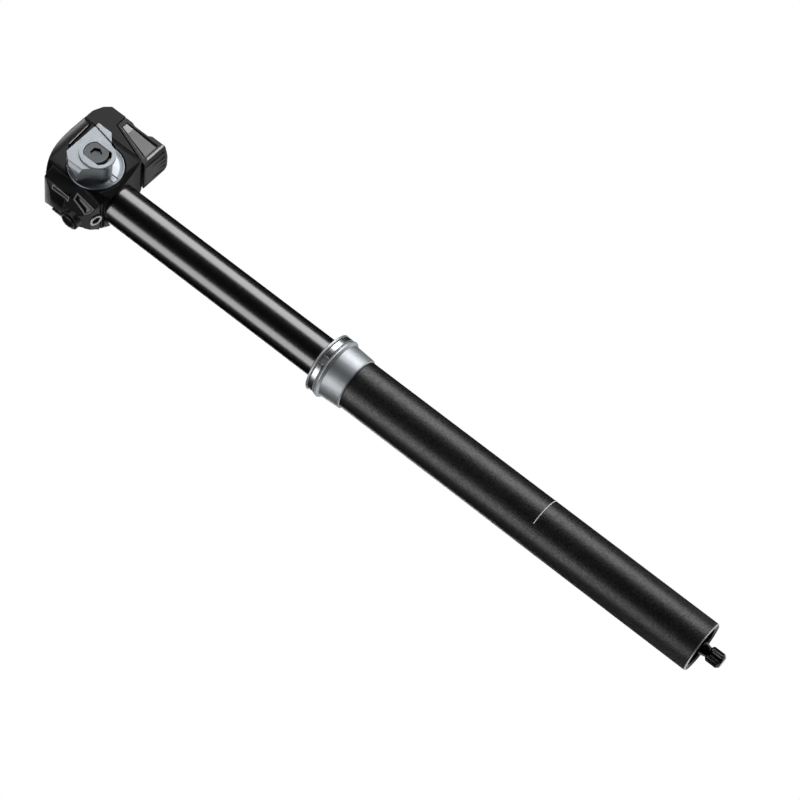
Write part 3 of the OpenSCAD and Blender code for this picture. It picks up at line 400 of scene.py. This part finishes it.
# Building blocks of the trim
RING_STEPS = 128
SHARP_ANGLE = math.radians(30)
ROUND_SEGMENTS = 2


def new_piece(name, made, material, body):
    mesh = bpy.data.meshes.new(name)
    bmesh.ops.recalc_face_normals(made, faces=made.faces)
    made.to_mesh(mesh)
    made.free()
    piece = bpy.data.objects.new(name, mesh)
    bpy.context.collection.objects.link(piece)
    mesh.materials.append(material)
    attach(piece, body)
    return piece


def join_rings(made, rings, closed=False, smooth=False):
    """Faces from each ring of corners to the next one; a row that isn't closed gets a face at both ends."""
    count = len(rings[0])
    for a, b in zip(rings, rings[1:] + rings[:1] if closed else rings[1:]):
        for k in range(count):
            made.faces.new((a[k], a[(k + 1) % count], b[(k + 1) % count], b[k])).smooth = smooth
    if not closed:
        made.faces.new(rings[0][::-1])
        made.faces.new(rings[-1])


def round_edges(made, radius):
    bmesh.ops.bevel(made, geom=made.edges[:], offset=radius, segments=ROUND_SEGMENTS, affect="EDGES", profile=0.5)


def thin_plate(layers, radius):
    """A plate between two layers of corner points, with rounded edges."""
    made = bmesh.new()
    join_rings(made, [[made.verts.new(point) for point in layer] for layer in layers])
    round_edges(made, radius)
    return made


def turned(section, place=Matrix.Identity(4)):
    """A ring turned about Z from a closed section of radius and height points, then moved to its place."""
    made = bmesh.new()
    rings = []
    for step in range(RING_STEPS):
        outward = heading(360 * step / RING_STEPS, 0)
        rings.append([made.verts.new((outward.x * r, outward.y * r, z)) for r, z in section])
    join_rings(made, rings, closed=True, smooth=True)
    made.normal_update()
    for edge in made.edges:
        edge.smooth = edge.calc_face_angle() < SHARP_ANGLE
    bmesh.ops.transform(made, matrix=place, verts=made.verts)
    return made


# Printed line for the least depth in the frame
LINE_Z = -130 * MM
LINE_WIDTH = 0.45 * MM
LINE_PROUD = 0.03 * MM
LINE_SUNK = 0.05 * MM
LINE_FROM = -34.5
LINE_TO = 92.0
LINE_STEPS = 64


def depth_line():
    tube_radius = reach("lower_tube", 0)[1]
    corners = ((-LINE_SUNK, -1), (LINE_PROUD, -1), (LINE_PROUD, 1), (-LINE_SUNK, 1))
    made = bmesh.new()
    rings = []
    for step in range(LINE_STEPS + 1):
        outward = heading(LINE_FROM + (LINE_TO - LINE_FROM) * step / LINE_STEPS, 0)
        ring = []
        for out, side in corners:
            place = outward * (tube_radius + out)
            place.z = LINE_Z + side * LINE_WIDTH / 2
            ring.append(made.verts.new(place))
        rings.append(ring)
    join_rings(made, rings)
    new_piece("depth_line", made, white_print, "lower")


# Hard anodised skin of the stanchion, from its lower end up into the head
SKIN_PROUD = 0.012 * MM
SKIN_SUNK = 0.05 * MM
SKIN_INSET = 0.6 * MM
SKIN_IN_HEAD = 4 * MM


def stanchion_skin():
    radius = reach("stanchion", 0)[1]
    low = reach("stanchion", 2)[0] + SKIN_INSET
    high = reach("head_shell", 2)[0] + SKIN_IN_HEAD
    section = ((radius + SKIN_PROUD, low), (radius + SKIN_PROUD, high),
               (radius - SKIN_SUNK, high), (radius - SKIN_SUNK, low))
    new_piece("stanchion_skin", turned(section), hard_anodised, "upper")


# Coil spring that lifts the release spool, wound in the place of its plain sleeve
WIRE_RADIUS = 0.34 * MM
COIL_TURNS = 4.5
COIL_STEPS = 40
WIRE_SIDES = 10


def spool_coil():
    coil_radius = reach("spool_spring", 0)[1] - WIRE_RADIUS
    low, high = reach("spool_spring", 2)
    rise = high - low - 2 * WIRE_RADIUS
    steps = int(COIL_TURNS * COIL_STEPS)
    made = bmesh.new()
    rings = []
    for step in range(steps + 1):
        share = step / steps
        outward = heading(360 * COIL_TURNS * share, 0)
        # The end coils lie nearly flat
        height = low + WIRE_RADIUS + rise * share * share * (3 - 2 * share)
        ring = []
        for side in range(WIRE_SIDES):
            turn = math.tau * side / WIRE_SIDES
            place = outward * (coil_radius + WIRE_RADIUS * math.cos(turn))
            place.z = height + WIRE_RADIUS * math.sin(turn)
            ring.append(made.verts.new(place))
        rings.append(ring)
    join_rings(made, rings, smooth=True)
    coil = new_piece("spool_coil", made, spring_steel, "upper")
    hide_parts("spool_spring")
    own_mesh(coil)


# Bright chamfer cut at the tube's lower rim
RIM_CHAMFER = 0.6 * MM
RIM_PROUD = 0.02 * MM
RIM_THICK = 0.12 * MM


def tube_rim():
    radius = reach("lower_tube", 0)[1]
    low = reach("lower_tube", 2)[0]
    slant = math.sqrt(0.5)
    out = RIM_PROUD * slant
    deep = -RIM_THICK * slant
    section = ((radius + out, low + RIM_CHAMFER - out), (radius - RIM_CHAMFER + out, low - out),
               (radius - RIM_CHAMFER + deep, low - deep), (radius + deep, low + RIM_CHAMFER - deep))
    new_piece("tube_rim", turned(section), bright_edge, "lower")


# Crowned polished face in the floor of each round cradle
CROWN_IN = 8.6 * MM
CROWN_OUT = 13.6 * MM
CROWN_FLOOR = 16.4 * MM
CROWN_SUNK = 0.15 * MM
CROWN_TILT = math.radians(6)
CROWN_BANDS = 8


def cradle_crowns():
    ball = CROWN_OUT / math.sin(CROWN_TILT)
    section = []
    for band in range(CROWN_BANDS + 1):
        r = CROWN_IN + (CROWN_OUT - CROWN_IN) * band / CROWN_BANDS
        section.append((r, CROWN_FLOOR + math.sqrt(ball ** 2 - r ** 2) - math.sqrt(ball ** 2 - CROWN_OUT ** 2)))
    section += [(CROWN_OUT, CROWN_FLOOR - CROWN_SUNK), (CROWN_IN, CROWN_FLOOR - CROWN_SUNK)]
    axis = middle("barrel_nut")
    for quarter, word in ((90, "near"), (-90, "far")):
        place = Matrix.Translation((axis.x, 0, axis.z)) @ Matrix.Rotation(math.radians(quarter), 4, "X")
        new_piece("cradle_crown_" + word, turned(section, place), polished_alloy, "clamp")


# Hex floor in the key sockets of the barrel nut and the clamp bolt
SOCKET_KEY = 5.2 * MM
SOCKET_TOP = 1.5 * MM
SOCKET_THICK = 0.5 * MM


def socket_floors():
    axis = middle("barrel_nut")
    radius = SOCKET_KEY / math.sqrt(3)
    turns = [math.radians(60 * corner) for corner in range(6)]
    hexagon = [(axis.x + radius * math.cos(t), axis.z + radius * math.sin(t)) for t in turns]
    for word, face, inward, body in (("near", reach("barrel_nut", 1)[0], 1, "clamp"),
                                     ("far", reach("clamp_bolt", 1)[1], -1, "bolt")):
        depths = (SOCKET_TOP, SOCKET_TOP + SOCKET_THICK)
        layers = [[(x, face + inward * depth, z) for x, z in hexagon] for depth in depths]
        made = thin_plate(layers, SOCKET_THICK / 4)
        new_piece("socket_floor_" + word, made, dark_steel, body)


# Thin trim on the head's sides, with outlines in millimetres: X, then the height above the head's foot
TRIM_ROUND = 0.08 * MM
TAB_OUTLINE = ((33.9, 24.4), (38.35, 24.4), (38.55, 29.6), (35.35, 29.6))
TAB_Y = (11.6, 11.95)
LEDGE_OUTLINE = ((27.4, 3.4), (41.8, 3.4), (41.8, 4.7), (28.2, 4.9))
LEDGE_Y = (11.8, 12.06)
EDGE_OUTLINE = ((26.95, 5.8), (27.3, 5.8), (34.65, 30.0), (34.3, 30.0))
LIP_OUTLINE = ((3.0, 41.55), (20.2, 42.75), (20.2, 43.1), (3.0, 41.95))
LIP_Y = (16.35, 16.56)
INDEX_TAB_OUTLINE = ((0.1, 4.6), (3.2, 4.6), (3.2, 10.0), (0.1, 10.0))
INDEX_TAB_Y = (16.2, 17.08)
DARK_STRIP_OUTLINE = ((3.3, 4.4), (4.0, 4.4), (4.0, 9.8), (3.3, 9.8))
DARK_STRIP_Y = (16.2, 16.95)


def side_trim(name, outline, depth, material, body):
    """A thin plate with rounded edges on the near side of the head, and one on the far side."""
    base = reach("head_shell", 2)[0]
    for word, side in (("near", -1), ("far", 1)):
        layers = [[(x * MM, side * y * MM, base + z * MM) for x, z in outline] for y in depth]
        new_piece(name + word, thin_plate(layers, TRIM_ROUND), material, body)


# Light frames on the nose's cheek and corner faces, a painted highlight along the edges of the window pocket and
# the corner rib, with outlines in millimetres along the face, then up it
CHEEK_AT = Vector((-17.3, -14.2, 17.6))
CHEEK_TURN = -41.0
CHEEK_LEAN = 12.0
WINDOW_OUTER = ((-5, -1.2), (-0.5, -1.2), (-3, -14.5), (-6.4, -13.8), (-8.9, -11.2), (-7.7, -9))
WINDOW_INNER = ((-4.4, -1.9), (-1.4, -1.9), (-3.6, -13.8), (-6.1, -13.1), (-8.1, -11.1), (-6.9, -9.2))
WINDOW_HEIGHT = (0.15, 0.43)
CORNER_AT = Vector((-23.6, -8.0, 0))
CORNER_TURN = -67.6
RIB_OUTER = ((2, 30.8), (5.2, 30.8), (4.8, 18), (1.4, 18), (2.4, 20))
RIB_INNER = ((2.55, 30.2), (4.7, 30.2), (4.3, 18.6), (2.4, 18.6), (2.95, 20.1))
RIB_HEIGHT = (0.85, 1.06)


def on_nose(at, turn, lean):
    """Place of a face of the nose: its first axis runs along the face and its second one up."""
    base = Vector((0, 0, reach("head_shell", 2)[0]))
    return (Matrix.Translation(base + at * MM) @ Matrix.Rotation(math.radians(turn), 4, "Z")
            @ Matrix.Rotation(math.radians(90 + lean), 4, "X"))


def nose_frames(name, place, outer, inner, heights):
    """A light raised frame on the near face of the nose and one on the far face: a painted edge highlight."""
    low, high = heights
    for word, across in (("near", 1), ("far", -1)):
        made = bmesh.new()
        layers = []
        for outline, height in ((outer, low), (outer, high), (inner, high), (inner, low)):
            points = [place @ Vector((x * MM, y * MM, height * MM)) for x, y in outline]
            layers.append([made.verts.new((p.x, across * p.y, p.z)) for p in points])
        join_rings(made, layers, closed=True)
        round_edges(made, TRIM_ROUND)
        new_piece(name + word, made, highlight_grey, "upper")


def head_trim():
    cheek = on_nose(CHEEK_AT, CHEEK_TURN, CHEEK_LEAN)
    corner = on_nose(CORNER_AT, CORNER_TURN, 0)
    nose_frames("window_highlight_frame_", cheek, WINDOW_OUTER, WINDOW_INNER, WINDOW_HEIGHT)
    nose_frames("rib_highlight_frame_", corner, RIB_OUTER, RIB_INNER, RIB_HEIGHT)
    # Pale tab, ledge and lip strips: painted highlights
    side_trim("battery_tab_highlight_", TAB_OUTLINE, TAB_Y, pale_highlight, "battery")
    side_trim("battery_ledge_highlight_", LEDGE_OUTLINE, LEDGE_Y, pale_highlight, "battery")
    # Light strip along the left edge of the panel recess: painted highlight
    side_trim("panel_edge_highlight_", EDGE_OUTLINE, LEDGE_Y, highlight_grey, "battery")
    side_trim("pocket_lip_highlight_", LIP_OUTLINE, LIP_Y, pale_highlight, "upper")
    side_trim("index_tab_", INDEX_TAB_OUTLINE, INDEX_TAB_Y, polished_alloy, "clamp")
    # A dark strip along the right edge of the index tab
    side_trim("index_dark_strip_", DARK_STRIP_OUTLINE, DARK_STRIP_Y, seal_rubber, "clamp")


# Studio: four soft boxes, white surroundings, a pale floor, and black cards that only reflections see
SOFT_BOXES = (
    # name, azimuth, elevation, distance, width, height, watts
    ("right_box", 43, 14, 1.25, 0.88, 1.2, 11),
    ("left_box", -84, 18, 1.25, 0.75, 1.0, 6.4),
    ("top_box", 78, 58, 1.3, 0.9, 0.6, 7.5),
    ("back_box", 172, 30, 1.4, 0.5, 1.2, 6),
)
SURROUND_LIGHT = 0.15
ROUND_STEPS = 64
FLOOR_Z = -0.9
FLOOR_RADIUS = 6.0
FLOOR_TONE = 0.9
FLOOR_ROUGHNESS = 0.9
FLOOR_GLOW = 0.8
CARD_TONE = 0.004
CARD_RADIUS = 1.7
CARD_TOP = 2.6
CARD_LOW = -0.2
CARD_LIFT = 0.02
CARD_FROM = -118.0
CARD_FRONT = 180.0
CARD_TURN = 360.0


def soft_boxes():
    for name, azimuth, elevation, distance, width, height, watts in SOFT_BOXES:
        lamp = bpy.data.lights.new(name, "AREA")
        lamp.shape = "RECTANGLE"
        lamp.size = width
        lamp.size_y = height
        lamp.energy = watts
        box = bpy.data.objects.new(name, lamp)
        bpy.context.collection.objects.link(box)
        away = heading(azimuth, elevation)
        box.location = away * distance
        box.rotation_euler = away.to_track_quat("Z", "Y").to_euler()
        box.visible_camera = False


def rays_that_see_white(tree):
    """One for rays that see the background itself: straight, mirrored or through glass."""
    path = add(tree, "ShaderNodeLightPath")
    seen = math_node(tree, "MAXIMUM", path.outputs["Is Camera Ray"], path.outputs["Is Glossy Ray"])
    return math_node(tree, "MAXIMUM", seen, path.outputs["Is Transmission Ray"])


def white_surroundings():
    world = bpy.data.worlds.new("white_studio")
    world.use_nodes = True
    tree = world.node_tree
    white = mix_colour(tree, rays_that_see_white(tree), grey(SURROUND_LIGHT), grey(1.0))
    tree.links.new(white, tree.nodes["Background"].inputs["Color"])
    bpy.context.scene.world = world


def stage_piece(name, made, material):
    mesh = bpy.data.meshes.new(name)
    made.to_mesh(mesh)
    made.free()
    piece = bpy.data.objects.new(name, mesh)
    bpy.context.collection.objects.link(piece)
    mesh.materials.append(material)
    return piece


def pale_floor():
    material = bpy.data.materials.new("pale_floor")
    material.use_nodes = True
    tree = material.node_tree
    paint = tree.nodes["Principled BSDF"]
    paint.inputs["Base Color"].default_value = (*grey(FLOOR_TONE), 1)
    paint.inputs["Roughness"].default_value = FLOOR_ROUGHNESS
    glow = add(tree, "ShaderNodeEmission")
    blend = add(tree, "ShaderNodeMixShader")
    share = math_node(tree, "MULTIPLY", rays_that_see_white(tree), FLOOR_GLOW)
    tree.links.new(share, blend.inputs[0])
    tree.links.new(paint.outputs[0], blend.inputs[1])
    tree.links.new(glow.outputs[0], blend.inputs[2])
    tree.links.new(blend.outputs[0], tree.nodes["Material Output"].inputs["Surface"])
    made = bmesh.new()
    bmesh.ops.create_circle(made, cap_ends=True, segments=ROUND_STEPS, radius=FLOOR_RADIUS,
                            matrix=Matrix.Translation((0, 0, FLOOR_Z)))
    stage_piece("floor", made, material)


def black_cards():
    """A round wall, down to the floor in front only, and a half disc on the floor in front."""
    material = bpy.data.materials.new("black_card")
    material.use_nodes = True
    paint = material.node_tree.nodes["Principled BSDF"]
    paint.inputs["Base Color"].default_value = (*grey(CARD_TONE), 1)
    paint.inputs["Roughness"].default_value = 1.0
    paint.inputs["Specular IOR Level"].default_value = 0.0
    made = bmesh.new()
    walls = []
    for step in range(ROUND_STEPS + 1):
        turn = CARD_TURN * step / ROUND_STEPS
        low = FLOOR_Z if turn <= CARD_FRONT or turn >= CARD_TURN else CARD_LOW
        foot = heading(CARD_FROM + turn, 0) * CARD_RADIUS
        walls.append([made.verts.new((foot.x, foot.y, z)) for z in (low, CARD_TOP)])
    for a, b in zip(walls, walls[1:]):
        made.faces.new((a[0], b[0], b[1], a[1]))
    turns = [CARD_FRONT * step / ROUND_STEPS for step in range(ROUND_STEPS + 1)]
    front = [heading(CARD_FROM + turn, 0) * CARD_RADIUS for turn in turns]
    made.faces.new([made.verts.new((p.x, p.y, FLOOR_Z + CARD_LIFT)) for p in front])
    cards = stage_piece("black_cards", made, material)
    cards.visible_camera = False
    cards.visible_diffuse = False
    cards.visible_transmission = False
    cards.visible_shadow = False


place_camera()
dress()
depth_line()
stanchion_skin()
spool_coil()
tube_rim()
cradle_crowns()
socket_floors()
head_trim()
soft_boxes()
white_surroundings()
pale_floor()
black_cards()
bpy.context.scene.view_settings.view_transform = "Standard"
